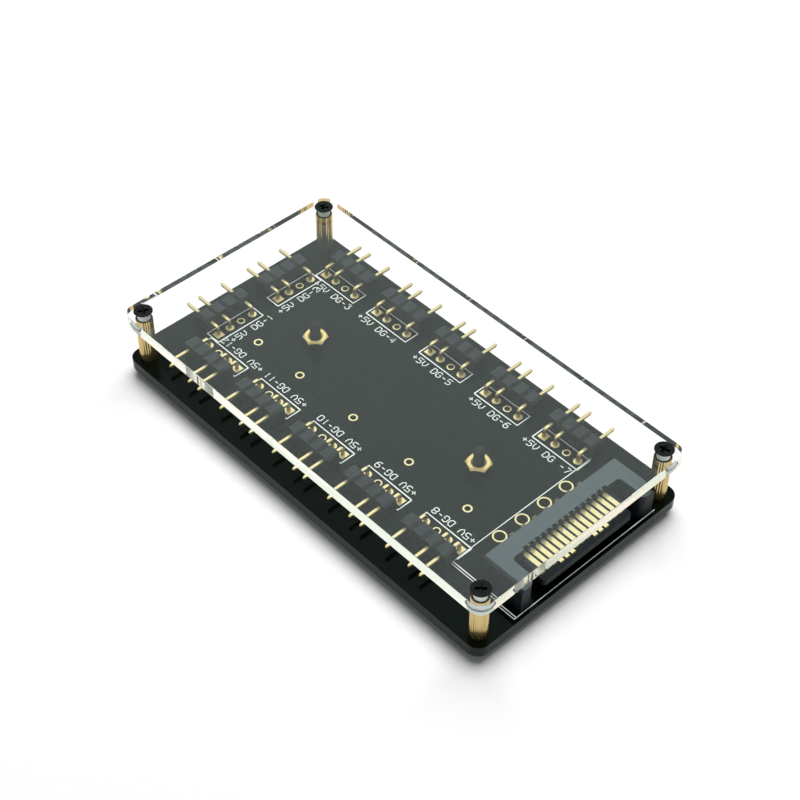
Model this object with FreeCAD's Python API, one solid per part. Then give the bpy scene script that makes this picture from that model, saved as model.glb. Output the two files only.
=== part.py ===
import FreeCAD
import Part
import math
import os
from FreeCAD import Vector

# A twelve-way hub for addressable lighting: a black circuit board on six screw heads, right-angle pin
# headers along three edges, a power plug at the front end and a clear cover on four brass standoffs.
# Millimetres. +X points to the power plug, +Z up. Left and right are as seen from the rear end, looking
# towards the plug, so left is +Y. The origin is the middle of the whole part's box, on the ground.

# Pin headers: four places on a 2.54 mm pitch, the third one without its pin
pin_pitch = 2.54
header_places = 4
empty_place = 2
pin_side = 0.5
pin_bend_cut = 0.36
pin_tip_chamfer = 0.14
pin_axis_height = 1.6
pin_reach = 4.2
tail_length = 1.0
header_body_height = 2.9
header_body_depth = 2.54
header_body_groove = 0.42
header_body_gap = 1.8
pin_fit_clearance = 0.01

# Rows of headers: five along each long edge and two along the rear edge
side_header_count = 5
rear_header_count = 2
side_header_spacing = 13.55
rear_header_spacing = 13.6
first_header_inset = 12.45
last_header_inset = 19.35
row_distance = 27.1
left_row_inset = 7.6
right_row_inset = 11.3
rear_row_inset = 7.6
centre_line_shift = 0.55

# Circuit board, its size set by the rows of headers and the room round them
board_length = first_header_inset + (side_header_count - 1) * side_header_spacing + last_header_inset
board_width = left_row_inset + row_distance + right_row_inset
board_thickness = 2.0
corner_radius = 2.2
pin_hole_clearance = 0.01
open_pin_hole_diameter = 1.0
via_diameter = 1.0
via_row_offset = 6.75
via_shift = -1.2
first_via_shift = 1.35
spare_hole_diameter = 1.7
spare_hole_pitch = 5.08
spare_hole_count = 4
spare_hole_inset = 13.1
small_hole_sides = 12

# Screws, standoffs and nuts, all of the 2 mm thread size, turned with a set number of flats
turned_sides = 20
thread_diameter = 1.9
hole_clearance = 0.15
thread_clearance = 0.02
screw_inset = 2.7
pan_head_diameter = 3.8
pan_head_height = 1.6
pan_head_chamfer = 0.5
pan_screw_length = 5.0
flat_head_diameter = 3.3
flat_head_proud = 0.4
flat_screw_length = 6.0
flat_head_clearance = 0.03
standoff_diameter = 3.0
standoff_height = 8.0
flute_count = 24
flute_depth = 0.1
centre_screw_spacing = 40.0
centre_screw_inset = 20.55
centre_screw_length = 6.4
nut_width = 4.0
nut_height = 1.6
nut_chamfer = 0.22
nut_turns = (15.0, 27.0)

# Clear cover
cover_thickness = 2.3

# Power plug: a U-shaped housing, open on top, round a tongue with a row of contacts
plug_standoff_gap = 1.75
plug_edge_inset = 1.0
plug_width = 30.0
plug_depth = 8.4
plug_height = 4.8
plug_back_wall = 3.3
plug_arm_width = 2.9
plug_lead_in = 1.3
plug_inner_radius = 0.8
plug_edge_chamfer = 0.5
tongue_width = 20.0
tongue_thickness = 1.25
tongue_bottom = 1.95
tongue_corner_radius = 0.7
key_leg_width = 1.2
key_leg_drop = 1.1
contact_count = 15
contact_pitch = 1.27
contact_width = 0.84
contact_thickness = 0.3
contact_proud = 0.06
contact_fit_clearance = 0.01
contact_end_gap = 0.75
contact_step = 0.5
contact_group = 3
contact_relief_depth = 0.45
contact_tail_width = 0.5
contact_tail_gap = 0.45
contact_tail_row_step = 0.6
contact_hole_clearance = 0.01

# Heights of the stack, from the ground up
board_bottom = pan_head_height
board_top = board_bottom + board_thickness
cover_bottom = board_top + standoff_height
cover_top = cover_bottom + cover_thickness

# Places on the board, from its own centre
rear_edge = -board_length / 2
front_edge = board_length / 2
left_edge = board_width / 2
right_edge = -board_width / 2
left_row_y = left_edge - left_row_inset
right_row_y = right_edge + right_row_inset
rear_row_x = rear_edge + rear_row_inset
rows_middle_y = (left_row_y + right_row_y) / 2
centre_line_y = rows_middle_y + centre_line_shift
pin_tip = header_body_gap + header_body_depth + pin_reach
corner_x = board_length / 2 - screw_inset
corner_y = board_width / 2 - screw_inset
screw_hole_diameter = thread_diameter + 2 * hole_clearance
plug_y = corner_y - standoff_diameter / 2 - plug_standoff_gap - plug_width / 2
plug_front = front_edge - plug_edge_inset
plug_back = plug_front - plug_depth
tongue_top = board_top + tongue_bottom + tongue_thickness
contact_bottom = tongue_top + contact_proud - contact_thickness
contact_tail_x = plug_back - contact_tail_gap
spare_hole_x = front_edge - spare_hole_inset

# The box of the whole part, which pins that overhang the board widen
box_rear = min(rear_edge, rear_row_x - pin_tip)
box_left = max(left_edge, left_row_y + pin_tip)
box_right = min(right_edge, right_row_y - pin_tip)
part_shift = Vector(-(box_rear + front_edge) / 2, -(box_left + box_right) / 2, 0)


def save(node, solids):
    """Write one piece, or a group of like pieces, as a node of the part."""
    shape = solids[0] if len(solids) == 1 else Part.makeCompound(solids)
    shape = shape.copy()
    shape.translate(part_shift)
    shape.exportStep("parts/" + node + ".step")


def polygon_face(points):
    """A flat face inside a closed outline of straight lines."""
    return Part.Face(Part.makePolygon(points + points[:1]))


def block(x, y, z, length, width, height):
    """A box centred on x and y that stands on z."""
    return Part.makeBox(length, width, height, Vector(x - length / 2, y - width / 2, z))


def ring(radius, height, sides, turn=0):
    """Corners of an upright prism's end face."""
    angles = [math.radians(turn) + 2 * math.pi * side / sides for side in range(sides)]
    return [Vector(radius * math.cos(angle), radius * math.sin(angle), height) for angle in angles]


def turned(profile, sides=turned_sides, turn=0):
    """A solid of revolution about Z, with flats for its round, from (radius, height) points going up."""
    rings = [ring(radius, height, sides, turn) for radius, height in profile]
    faces = [polygon_face(rings[0]), polygon_face(rings[-1])]
    for low, high in zip(rings, rings[1:]):
        for side in range(sides):
            after = (side + 1) % sides
            faces.append(polygon_face([low[side], low[after], high[after], high[side]]))
    solid = Part.makeSolid(Part.makeShell(faces))
    solid.fix(0.001, 0.001, 0.001)
    return solid.removeSplitter()


def upright_edges(solid):
    """The straight vertical edges of a solid."""
    return [edge for edge in solid.Edges if abs(edge.tangentAt(edge.FirstParameter).z) > 0.999]


def rounded_plate(thickness, bottom):
    """The outline that the board and its cover share."""
    plate = block(0, 0, bottom, board_length, board_width, thickness)
    return plate.makeFillet(corner_radius, upright_edges(plate))


def drills(points, diameter, sides):
    """Cutters for upright holes through the board at a list of places."""
    cutters = []
    for x, y in points:
        cutter = turned([(diameter / 2, board_bottom), (diameter / 2, board_top)], sides)
        cutter.translate(Vector(x, y, 0))
        cutters.append(cutter)
    return cutters


def corners():
    """Names and places of the four corner screws."""
    return [(end + "_" + side, x, y)
            for end, x in (("rear", -corner_x), ("front", corner_x))
            for side, y in (("left", corner_y), ("right", -corner_y))]


def centre_screws():
    """Names and places of the two screws on the board's centre line."""
    first = rear_edge + centre_screw_inset
    return [("rear", first, centre_line_y), ("front", first + centre_screw_spacing, centre_line_y)]


def side_header_x():
    """Middle of each header along a long edge, from the rear to the front."""
    first = rear_edge + first_header_inset
    return [first + index * side_header_spacing for index in range(side_header_count)]


def headers():
    """Number, place of the middle of the pad row, and turn of each header, in the board's own order."""
    rear_first = rows_middle_y - rear_header_spacing * (rear_header_count - 1) / 2
    rear = [(rear_row_x, rear_first + index * rear_header_spacing, 90) for index in range(rear_header_count)]
    left = [(x, left_row_y, 0) for x in side_header_x()]
    right = [(x, right_row_y, 180) for x in reversed(side_header_x())]
    return [(number + 1, x, y, turn) for number, (x, y, turn) in enumerate(rear + left + right)]


def place_offsets():
    """Distances of a header's places from its middle, along the row."""
    return [(place - (header_places - 1) / 2) * pin_pitch for place in range(header_places)]


def set_header(shape, x, y, turn):
    """Move a piece from the header's own frame, where pins point to +Y, to its place on the board."""
    shape.rotate(Vector(0, 0, 0), Vector(0, 0, 1), turn)
    shape.translate(Vector(x, y, 0))
    return shape


def header_pin(along):
    """A square pin: up out of the board, round a bend and out over the edge."""
    half = pin_side / 2
    axis = board_top + pin_axis_height
    foot = board_bottom - tail_length
    side = along - half
    outline = [Vector(side, -half, foot), Vector(side, -half, axis + half - pin_bend_cut),
               Vector(side, pin_bend_cut - half, axis + half), Vector(side, pin_tip, axis + half),
               Vector(side, pin_tip, axis - half), Vector(side, half, axis - half), Vector(side, half, foot)]
    pin = polygon_face(outline).extrude(Vector(pin_side, 0, 0))
    tip_edges = [edge for edge in pin.Edges if all(vertex.Y > pin_tip - 0.001 for vertex in edge.Vertexes)]
    return pin.makeChamfer(pin_tip_chamfer, tip_edges)


def header_body():
    """Four joined blocks with a groove between neighbours, holed for the pins."""
    half_length = header_places * pin_pitch / 2
    low = []
    high = []
    for place in range(header_places):
        start = place * pin_pitch - half_length
        end = start + pin_pitch
        low += [(start, header_body_groove), (start + header_body_groove, 0), (end - header_body_groove, 0)]
        high += [(start, header_body_height - header_body_groove),
                 (start + header_body_groove, header_body_height),
                 (end - header_body_groove, header_body_height)]
    low.append((half_length, header_body_groove))
    high.append((half_length, header_body_height - header_body_groove))
    outline = [Vector(x, header_body_gap, board_top + z) for x, z in low + high[::-1]]
    body = polygon_face(outline).extrude(Vector(0, header_body_depth, 0))
    hole = pin_side + 2 * pin_fit_clearance
    holes = [Part.makeBox(hole, header_body_depth, hole,
                          Vector(along - hole / 2, header_body_gap, board_top + pin_axis_height - hole / 2))
             for along in place_offsets()]
    return body.cut(holes)


def header_pins():
    """The pins of one header, in every place but the empty one."""
    return [header_pin(along) for place, along in enumerate(place_offsets()) if place != empty_place]


def flat_screw():
    """Countersunk cover screw, its head standing a little proud of the cover."""
    head = flat_head_diameter / 2
    shank = thread_diameter / 2
    face = cover_top + flat_head_proud
    return turned([(shank, face - flat_screw_length), (shank, face - (head - shank)), (head, face)])


def countersink():
    """Cutter for the cover: the sunk part of the screw's head with its clearance, and the hole below it."""
    head = flat_head_diameter / 2 - flat_head_proud + flat_head_clearance
    hole = screw_hole_diameter / 2
    return turned([(hole, cover_bottom), (hole, cover_top - (head - hole)), (head, cover_top)])


def pan_screw(length):
    """Pan-head screw under the board, head down, its rim bevelled."""
    head = pan_head_diameter / 2
    shank = thread_diameter / 2
    tip = pan_head_height + length
    return turned([(head - pan_head_chamfer, 0), (head, pan_head_chamfer), (head, pan_head_height),
                   (shank, pan_head_height), (shank, tip)])


def thread_bore(bottom, depth):
    """Cutter for the hole that a screw's thread fills."""
    radius = thread_diameter / 2 + thread_clearance
    return turned([(radius, bottom), (radius, bottom + depth)])


def standoff():
    """Round standoff with straight flutes cut along it, and a hole for the screws at both ends."""
    crests = ring(standoff_diameter / 2, board_top, flute_count)
    roots = ring(standoff_diameter / 2 - flute_depth, board_top, flute_count, 180 / flute_count)
    outline = [point for pair in zip(crests, roots) for point in pair]
    post = polygon_face(outline).extrude(Vector(0, 0, standoff_height))
    return post.cut(thread_bore(board_top, standoff_height))


def hex_nut(turn):
    """Hexagon nut on the board, its corners bevelled at both faces."""
    corner = nut_width / 2 / math.cos(math.pi / 6)
    prism = turned([(corner, board_top), (corner, board_top + nut_height)], 6, turn)
    face_corner = (nut_width / 2 - nut_chamfer) / math.cos(math.pi / 6)
    waist_corner = corner / math.cos(math.pi / 6)
    slope = (waist_corner - face_corner) * math.cos(math.pi / 6) * math.tan(math.radians(30))
    bevel = turned([(face_corner, board_top), (waist_corner, board_top + slope),
                    (waist_corner, board_top + nut_height - slope), (face_corner, board_top + nut_height)],
                   6, turn + 30)
    return prism.common(bevel).cut(thread_bore(board_top, nut_height))


def contact_offsets():
    """Distances of the plug's contacts from the middle of its tongue."""
    return [(index - (contact_count - 1) / 2) * contact_pitch for index in range(contact_count)]


def contact_tail(index):
    """Distance along X of a contact's tail: the tails stand in two rows, by turns."""
    return contact_tail_x - contact_tail_row_step * (index % 2)


def contact_front(index):
    """Front end of a contact: groups of three reach further forward by turns."""
    longer = (index // contact_group) % 2
    return plug_front - contact_end_gap - contact_step * (1 - longer)


def plug_contact(index):
    """A flat contact along the tongue, back through the wall and down into the board."""
    y = plug_y + contact_offsets()[index]
    back = contact_tail(index) - contact_thickness / 2
    front = contact_front(index)
    strip = block((back + front) / 2, y, contact_bottom, front - back, contact_width, contact_thickness)
    nose = [edge for edge in strip.Edges
            if all(vertex.X > front - 0.001 and vertex.Z > contact_bottom + 0.001 for vertex in edge.Vertexes)]
    strip = strip.makeChamfer(contact_thickness * 0.6, nose)
    foot = board_bottom - tail_length
    tail = block(back + contact_thickness / 2, y, foot, contact_thickness, contact_tail_width,
                 contact_bottom + contact_thickness - foot)
    return strip.fuse(tail).removeSplitter()


def plug_housing():
    """One moulding: back wall, two guide arms and the tongue between them, with its key leg."""
    half = plug_width / 2
    cavity = half - plug_arm_width
    wall_front = plug_back + plug_back_wall
    shell = block((plug_front + plug_back) / 2, plug_y, board_top, plug_depth, plug_width, plug_height)
    top_edges = [edge for edge in shell.Edges
                 if all(vertex.Z > board_top + plug_height - 0.001 for vertex in edge.Vertexes)
                 and abs(abs(edge.CenterOfMass.y - plug_y) - half) < 0.001]
    shell = shell.makeChamfer(plug_edge_chamfer, top_edges)
    mouth = block((plug_front + wall_front) / 2, plug_y, board_top, plug_front - wall_front, 2 * cavity,
                  plug_height)
    back_edges = [edge for edge in upright_edges(mouth) if edge.CenterOfMass.x < wall_front + 0.001]
    shell = shell.cut(mouth.makeFillet(plug_inner_radius, back_edges))
    lead_edges = [edge for edge in upright_edges(shell)
                  if abs(edge.CenterOfMass.x - plug_front) < 0.001
                  and abs(abs(edge.CenterOfMass.y - plug_y) - cavity) < 0.001]
    shell = shell.makeFillet(plug_lead_in, lead_edges)
    tongue_start = wall_front - plug_inner_radius
    tongue = block((plug_front + tongue_start) / 2, plug_y, board_top + tongue_bottom,
                   plug_front - tongue_start, tongue_width, tongue_thickness)
    tongue_edges = [edge for edge in upright_edges(tongue) if edge.CenterOfMass.x > plug_front - 0.001]
    tongue = tongue.makeFillet(tongue_corner_radius, tongue_edges)
    leg_y = plug_y + tongue_width / 2 - key_leg_width / 2
    leg_front = plug_front - tongue_corner_radius
    leg = block((leg_front + tongue_start) / 2, leg_y, board_top + tongue_bottom - key_leg_drop,
                leg_front - tongue_start, key_leg_width, key_leg_drop)
    housing = shell.fuse([tongue, leg]).removeSplitter()
    return housing.cut(contact_cuts())


def contact_cuts():
    """A channel along the tongue and through the wall for each contact, and a relief up the wall's face."""
    width = contact_width + 2 * contact_fit_clearance
    wall_front = plug_back + plug_back_wall
    roof = contact_bottom + contact_thickness + contact_fit_clearance
    cuts = []
    for index, offset in enumerate(contact_offsets()):
        y = plug_y + offset
        front = contact_front(index) + contact_fit_clearance
        channel = block((plug_back + front) / 2, y, contact_bottom, front - plug_back, width,
                        roof - contact_bottom)
        relief = block(wall_front - contact_relief_depth / 2, y, contact_bottom, contact_relief_depth, width,
                       board_top + plug_height - contact_bottom)
        cuts += [channel, relief]
    return cuts


def circuit_board():
    """Board with all its holes: round where they are open or take a screw, fitted to the pins elsewhere."""
    board = rounded_plate(board_thickness, board_bottom)
    screw_places = [(x, y) for name, x, y in corners() + centre_screws()]
    via_places = [(x + (first_via_shift if index == 0 else via_shift), rows_middle_y - via_row_offset)
                  for index, x in enumerate(side_header_x())]
    spare_places = [(spare_hole_x, centre_line_y + (index - (spare_hole_count - 1) / 2) * spare_hole_pitch)
                    for index in range(spare_hole_count)]
    open_places = []
    pin_hole = pin_side + 2 * pin_hole_clearance
    slots = []
    for number, x, y, turn in headers():
        for place, along in enumerate(place_offsets()):
            spot = (x + along * math.cos(math.radians(turn)), y + along * math.sin(math.radians(turn)))
            if place == empty_place:
                open_places.append(spot)
            else:
                slots.append(block(spot[0], spot[1], board_bottom, pin_hole, pin_hole, board_thickness))
    for index, offset in enumerate(contact_offsets()):
        slots.append(block(contact_tail(index), plug_y + offset, board_bottom,
                           contact_thickness + 2 * contact_hole_clearance,
                           contact_tail_width + 2 * contact_hole_clearance, board_thickness))
    slots += drills(screw_places, screw_hole_diameter, turned_sides)
    slots += drills(via_places, via_diameter, small_hole_sides)
    slots += drills(spare_places, spare_hole_diameter, small_hole_sides)
    slots += drills(open_places, open_pin_hole_diameter, small_hole_sides)
    return board.cut(slots)


def clear_cover():
    """Cover plate with a countersunk hole over each standoff."""
    plate = rounded_plate(cover_thickness, cover_bottom)
    cutters = []
    for name, x, y in corners():
        cutter = countersink()
        cutter.translate(Vector(x, y, 0))
        cutters.append(cutter)
    return plate.cut(cutters)


def save_at(node, shape, x, y):
    """Save a piece that was made on the Z axis at its place on the board."""
    shape.translate(Vector(x, y, 0))
    save(node, [shape])


os.makedirs("parts", exist_ok=True)
save("circuit_board", [circuit_board()])
save("clear_cover", [clear_cover()])
for corner, x, y in corners():
    save_at("standoff_" + corner, standoff(), x, y)
    save_at("cover_screw_" + corner, flat_screw(), x, y)
    save_at("foot_screw_" + corner, pan_screw(pan_screw_length), x, y)
for (end, x, y), turn in zip(centre_screws(), nut_turns):
    save_at("centre_screw_" + end, pan_screw(centre_screw_length), x, y)
    save_at("centre_nut_" + end, hex_nut(turn), x, y)
for number, x, y, turn in headers():
    save("header_body_%02d" % number, [set_header(header_body(), x, y, turn)])
    save("header_pins_%02d" % number, [set_header(pin, x, y, turn) for pin in header_pins()])
save("power_plug_housing", [plug_housing()])
save("power_plug_contacts", [plug_contact(index) for index in range(contact_count)])
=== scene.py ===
# %% [markdown]
# A lighting hub in Blender
# The hub is a black circuit board with twelve right-angle pin headers, a power plug at one end and a
# clear acrylic cover on four brass standoffs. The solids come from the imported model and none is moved.
# This lesson adds the camera, the light, the finishes and the fine pieces, such as plating, solder,
# printing and screws. Some of those take the place of plainer solids.

# %% Load the fixed model
import math

import bmesh
import bpy
from mathutils import Matrix, Vector


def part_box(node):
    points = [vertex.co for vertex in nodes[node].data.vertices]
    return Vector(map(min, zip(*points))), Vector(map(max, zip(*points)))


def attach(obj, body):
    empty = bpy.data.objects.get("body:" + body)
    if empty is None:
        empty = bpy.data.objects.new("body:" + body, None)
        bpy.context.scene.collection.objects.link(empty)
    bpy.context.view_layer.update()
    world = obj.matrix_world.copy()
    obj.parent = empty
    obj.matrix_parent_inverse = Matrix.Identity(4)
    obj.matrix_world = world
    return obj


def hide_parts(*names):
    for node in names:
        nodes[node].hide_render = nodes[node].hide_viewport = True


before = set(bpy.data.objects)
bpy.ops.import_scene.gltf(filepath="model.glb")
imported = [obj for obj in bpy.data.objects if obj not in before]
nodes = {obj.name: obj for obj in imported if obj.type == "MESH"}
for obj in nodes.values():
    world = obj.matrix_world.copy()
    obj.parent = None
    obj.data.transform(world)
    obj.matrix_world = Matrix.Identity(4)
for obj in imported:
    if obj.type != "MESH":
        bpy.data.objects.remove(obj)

scene = bpy.context.scene
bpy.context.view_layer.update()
MM = 0.001
print("loaded", len(nodes), "solids")

# %% [markdown]
# The camera
# A product shot like this one is taken with a long lens from above one corner. The angles, the distance
# and the focal length were found by fitting a pinhole camera to the pads, the screw heads and the edges
# of the board and the cover, so they are written here as plain numbers. Setting the camera by eye would
# be quicker, but sizes were read from the picture too, so it has to be right. The lens is worked out for
# a square frame 800 pixels wide.

# %% Camera
PHOTO_WIDTH = 800
FOCAL_PIXELS = 1732.7
SENSOR_WIDTH = 36.0
AZIMUTH = math.radians(46.388)
ELEVATION = math.radians(45.744)
ROLL = math.radians(0.661)
DISTANCE = 292.96 * MM
LOOK_AT = Vector((-2.611, 3.871, 3.6)) * MM
NEAREST_SEEN = 10 * MM

away = Vector((math.sin(AZIMUTH) * math.cos(ELEVATION), -math.cos(AZIMUTH) * math.cos(ELEVATION),
               math.sin(ELEVATION)))
level = Vector((math.cos(AZIMUTH), math.sin(AZIMUTH), 0.0))
upright = away.cross(level)
right = level * math.cos(ROLL) + upright * math.sin(ROLL)
up = upright * math.cos(ROLL) - level * math.sin(ROLL)
view_turn = Matrix((right, up, away)).transposed().to_4x4()

camera = bpy.data.objects.new("camera", bpy.data.cameras.new("camera"))
camera.data.sensor_width = SENSOR_WIDTH
camera.data.lens = FOCAL_PIXELS * SENSOR_WIDTH / PHOTO_WIDTH
camera.data.clip_start = NEAREST_SEEN
camera.matrix_world = Matrix.Translation(LOOK_AT + away * DISTANCE) @ view_turn
scene.collection.objects.link(camera)
scene.camera = camera
print("lens %.1f mm at %.0f mm" % (camera.data.lens, DISTANCE / MM))

# %% [markdown]
# Light and floor
# The hub stands on a white floor with one wide soft box behind it, so its shadow falls towards the camera
# and its front faces are dark. The rest of the room gives a weak even light. Rays that are seen or bent
# by the cover meet a nearly white wall, and rays that are only mirrored meet a greyer one, which sets how
# strong the veil on the cover is. The soft box itself is hidden from mirrored and bent rays, because the
# flat cover would mirror its outline. The clear cover pipes light along its whole width, so the number of
# bounces is raised for it. A picture of a studio could light the hub as well, but a lamp and a few levels
# are easier to follow and to change.

# %% Levels for kinds of ray
def reckon(tree, operation, first, second=0.0, third=0.0):
    """The result of a Math node, from sockets or plain numbers."""
    made = tree.nodes.new("ShaderNodeMath")
    made.operation = operation
    for place, value in zip(made.inputs, (first, second, third)):
        if isinstance(value, bpy.types.NodeSocket):
            tree.links.new(value, place)
        else:
            place.default_value = value
    return made.outputs[0]


def ray_level(tree, carried, mirrored, seen):
    """A level for rays that carry light, one for mirrored rays and one for rays that are seen or bent."""
    path = tree.nodes.new("ShaderNodeLightPath")
    strength = reckon(tree, "MULTIPLY_ADD", path.outputs["Is Glossy Ray"], mirrored - carried, carried)
    for label in ("Is Camera Ray", "Is Transmission Ray"):
        strength = reckon(tree, "MAXIMUM", strength, reckon(tree, "MULTIPLY", path.outputs[label], seen))
    return strength


# %% Room
ROOM_LIGHT = 0.15
ROOM_COLOUR = (0.88, 1.0, 0.97, 1)
MIRRORED_ROOM = 0.56
SEEN_ROOM = 1.0
PIPE_BOUNCES = 40

scene.view_settings.view_transform = "Standard"
scene.cycles.max_bounces = PIPE_BOUNCES
scene.cycles.glossy_bounces = PIPE_BOUNCES
scene.cycles.transmission_bounces = PIPE_BOUNCES

world = bpy.data.worlds.new("white_room")
world.use_nodes = True
scene.world = world
background = world.node_tree.nodes["Background"]
background.inputs["Color"].default_value = ROOM_COLOUR
room = ray_level(world.node_tree, ROOM_LIGHT, MIRRORED_ROOM, SEEN_ROOM)
world.node_tree.links.new(room, background.inputs["Strength"])
print("room light", ROOM_LIGHT, "mirrored", MIRRORED_ROOM, "seen", SEEN_ROOM)

# %% Soft box
LAMP_POWER = 54.0
LAMP_SIZE = 2.0
LAMP_PLACE = Vector((-0.52, 0.74, 1.85))

lamp = bpy.data.objects.new("soft_lamp", bpy.data.lights.new("soft_lamp", "AREA"))
lamp.data.energy = LAMP_POWER
lamp.data.size = LAMP_SIZE
lamp.location = LAMP_PLACE
lamp.rotation_euler = LAMP_PLACE.to_track_quat("Z", "Y").to_euler()
lamp.visible_glossy = False
lamp.visible_transmission = False
scene.collection.objects.link(lamp)
print("soft box of %.0f m, %.1f m away" % (LAMP_SIZE, LAMP_PLACE.length))

# %% Floor
FLOOR_SIZE = 6.0
FLOOR_PAPER = (0.98, 0.965, 0.965, 1)
FLOOR_ROUGHNESS = 0.9
FLOOR_GLOW = 0.03
WHITE = (1, 1, 1, 1)

floor_paper = bpy.data.materials.new("floor_paper")
floor_paper.use_nodes = True
paper = floor_paper.node_tree.nodes["Principled BSDF"]
paper.inputs["Base Color"].default_value = FLOOR_PAPER
paper.inputs["Roughness"].default_value = FLOOR_ROUGHNESS
paper.inputs["Specular IOR Level"].default_value = 0.0
paper.inputs["Emission Color"].default_value = WHITE
glow = ray_level(floor_paper.node_tree, 0.0, FLOOR_GLOW, FLOOR_GLOW)
floor_paper.node_tree.links.new(glow, paper.inputs["Emission Strength"])

half = FLOOR_SIZE / 2
floor_corners = [(-half, -half, 0), (half, -half, 0), (half, half, 0), (-half, half, 0)]
floor_mesh = bpy.data.meshes.new("floor")
floor_mesh.from_pydata(floor_corners, [], [(0, 1, 2, 3)])
floor_mesh.materials.append(floor_paper)
floor = bpy.data.objects.new("floor", floor_mesh)
scene.collection.objects.link(floor)
print("floor of %.0f m" % FLOOR_SIZE)

# %% [markdown]
# Finishes
# Each finish is one Principled shader with a little noise in its colour and its gloss, because even new
# plastic and plating isn't perfectly even. All but the smooth mask of the board have fine bumps too. One
# helper makes them all: it takes the two colours that the noise runs between, the range of roughness, how
# strong the bumps are and how fine the noise is. Patterns read Object coordinates, in metres, so they
# stay fixed to the part. No metal here mirrors the soft box, so the bright metals on top keep a share of
# plain colour, by a Metallic below 1, or they would look too dark. The plated wall inside a hole lies in
# the shade, so it is painted dark brown, a painted shade. Pictures of surfaces could be wrapped round the
# pieces instead, but noise needs no files and has no seams.

# %% Helper for finishes
NOISE_DETAIL = 4.0
BUMP_HEIGHT = 0.02 * MM


def finish(name, dark, light, rough, bump, grain, metal=0.0, shine=0.5):
    """A material with noise between two colours and two roughnesses, and fine bumps."""
    made = bpy.data.materials.new(name)
    made.use_nodes = True
    tree = made.node_tree
    shader = tree.nodes["Principled BSDF"]
    shader.inputs["Metallic"].default_value = metal
    shader.inputs["Specular IOR Level"].default_value = shine
    place = tree.nodes.new("ShaderNodeTexCoord")
    noise = tree.nodes.new("ShaderNodeTexNoise")
    noise.inputs["Scale"].default_value = grain
    noise.inputs["Detail"].default_value = NOISE_DETAIL
    tree.links.new(place.outputs["Object"], noise.inputs["Vector"])
    colours = tree.nodes.new("ShaderNodeMix")
    colours.data_type = "RGBA"
    colours.inputs["A"].default_value = (*dark, 1)
    colours.inputs["B"].default_value = (*light, 1)
    tree.links.new(noise.outputs["Fac"], colours.inputs["Factor"])
    tree.links.new(colours.outputs["Result"], shader.inputs["Base Color"])
    gloss = reckon(tree, "MULTIPLY_ADD", noise.outputs["Fac"], rough[1] - rough[0], rough[0])
    tree.links.new(gloss, shader.inputs["Roughness"])
    if bump:
        bumps = tree.nodes.new("ShaderNodeBump")
        bumps.inputs["Strength"].default_value = bump
        bumps.inputs["Distance"].default_value = BUMP_HEIGHT
        tree.links.new(noise.outputs["Fac"], bumps.inputs["Height"])
        tree.links.new(bumps.outputs["Normal"], shader.inputs["Normal"])
    return made


# %% Finishes of the hub
GOLD_DARK = (0.92, 0.74, 0.34)
GOLD_LIGHT = (1.00, 0.89, 0.53)

solder_mask = finish("solder_mask", (0.001, 0.0025, 0.0015), (0.0015, 0.004, 0.0025),
                     rough=(0.02, 0.05), bump=0, grain=400, shine=0.09)
# Painted sheen: these header colours are for the tops, painted paler than the sides for the soft box.
header_plastic = finish("header_plastic", (0.016, 0.018, 0.021), (0.024, 0.026, 0.030),
                        rough=(0.30, 0.40), bump=0.1, grain=9000, shine=0.3)
# Painted sheen: this pale grey is the plug's top, painted paler for the soft box.
plug_plastic = finish("plug_plastic", (0.074, 0.092, 0.100), (0.088, 0.109, 0.117),
                      rough=(0.34, 0.44), bump=0.1, grain=9000, shine=0.12)
black_oxide = finish("black_oxide", (0.003, 0.003, 0.004), (0.006, 0.006, 0.007),
                     rough=(0.18, 0.28), bump=0.1, grain=8000, shine=0.3)
brass = finish("turned_brass", (0.58, 0.42, 0.16), (0.74, 0.57, 0.27),
               rough=(0.16, 0.28), bump=0.1, grain=3000, metal=0.92)
nut_brass = finish("nut_brass", (0.92, 0.67, 0.24), (1.00, 0.80, 0.36),
                   rough=(0.08, 0.16), bump=0.1, grain=3000, metal=0.45)
gold = finish("gold_plating", GOLD_DARK, GOLD_LIGHT,
              rough=(0.08, 0.16), bump=0.05, grain=4000, metal=0.5)
contact_gold = finish("contact_plating", GOLD_DARK, GOLD_LIGHT,
                      rough=(0.08, 0.16), bump=0.05, grain=4000, metal=0.5)
# Painted shade: this dark brown on the plated wall inside a hole stands for the shade in the hole.
barrel = finish("shaded_hole_plating", (0.030, 0.024, 0.012), (0.050, 0.040, 0.020),
                rough=(0.5, 0.7), bump=0.1, grain=6000, shine=0.2)
tin = finish("solder_tin", (0.55, 0.55, 0.54), (0.72, 0.72, 0.70),
             rough=(0.22, 0.38), bump=0.2, grain=6000, metal=1.0)
ink = finish("white_ink", (0.74, 0.77, 0.75), (0.86, 0.89, 0.87),
             rough=(0.6, 0.75), bump=0.1, grain=9000, shine=0.3)
frost = finish("frosted_acrylic", (0.90, 0.92, 0.91), (0.97, 0.98, 0.97),
               rough=(0.6, 0.8), bump=0.2, grain=9000, shine=0.3)
print("finishes:", len(bpy.data.materials) - 1)

# %% [markdown]
# Sides of another colour, with painted sheen and painted reflection
# The black mask covers only the two faces of the board, and its milled edge shows the glass-epoxy core, a
# dull grey-green. On the other pieces the change is painted light. Moulded plastic is painted paler on top,
# a painted sheen that stands for the soft box, which no plastic here mirrors. The flats of a nut and the
# legs of a pin mirror the black board beside them, so upright metal gets a darker colour, a painted
# reflection. The face normal tells the two apart: it points up or down on the faces and sideways on the
# sides, and a power of it makes the change sharper. In the plug the painted sheen is kept to what is
# higher than the tongue, so its inside and its tongue stay dark. The contacts' tails behind the plug take
# the darker colour all over. Two materials on each piece would do much the same, but its faces would have
# to be sorted first.

# %% Helper for sides
FACE_SPLIT = 5.0


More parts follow.
